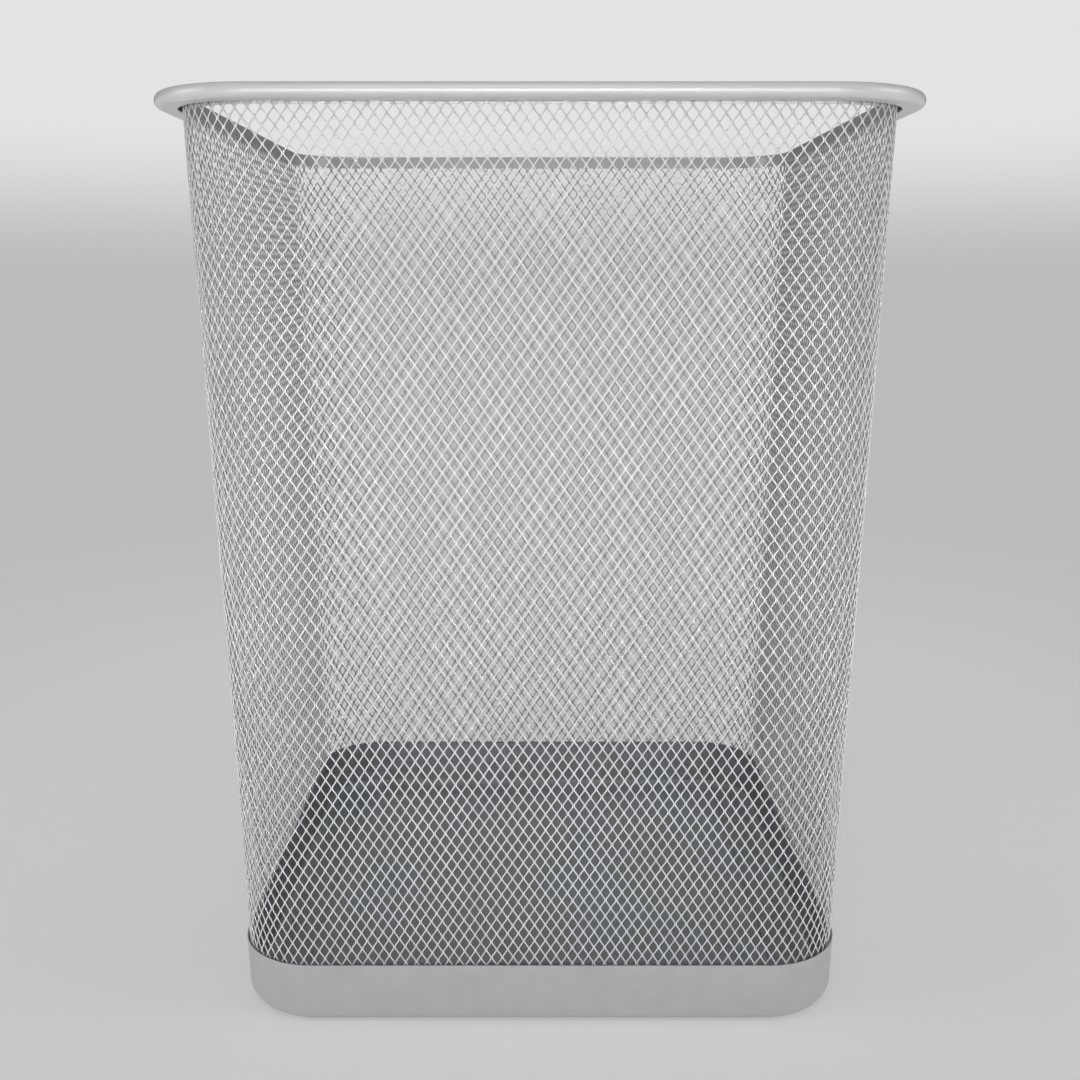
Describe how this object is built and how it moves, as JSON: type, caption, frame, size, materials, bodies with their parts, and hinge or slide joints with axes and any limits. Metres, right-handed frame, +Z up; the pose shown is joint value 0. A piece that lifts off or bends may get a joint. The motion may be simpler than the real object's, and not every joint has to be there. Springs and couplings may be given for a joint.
{
  "type": "wastebasket",
  "caption": "Square open-topped wastebasket with a tapered expanded steel mesh wall, a rolled overhanging rim and a solid pressed base, standing on a flat ring.",
  "frame": {"origin": "on the ground, below the middle of the basket", "axes": "+Z up through the open mouth, -Y the front, +X to the right of someone facing the front"},
  "size_m": [0.2782, 0.2782, 0.356],
  "materials": {
    "mesh_paint": "silver-grey powder coat over expanded steel",
    "rim_paint": "silver-grey powder coat, satin",
    "pan_paint": "silver-grey powder coat, satin",
    "band_paint": "silver-grey powder coat, satin"
  },
  "bodies": {
    "root": {"mesh_wall": "mesh_paint", "rim_channel": "rim_paint", "base_pan": "pan_paint", "inner_band": "band_paint"}
  },
  "joints": []
}
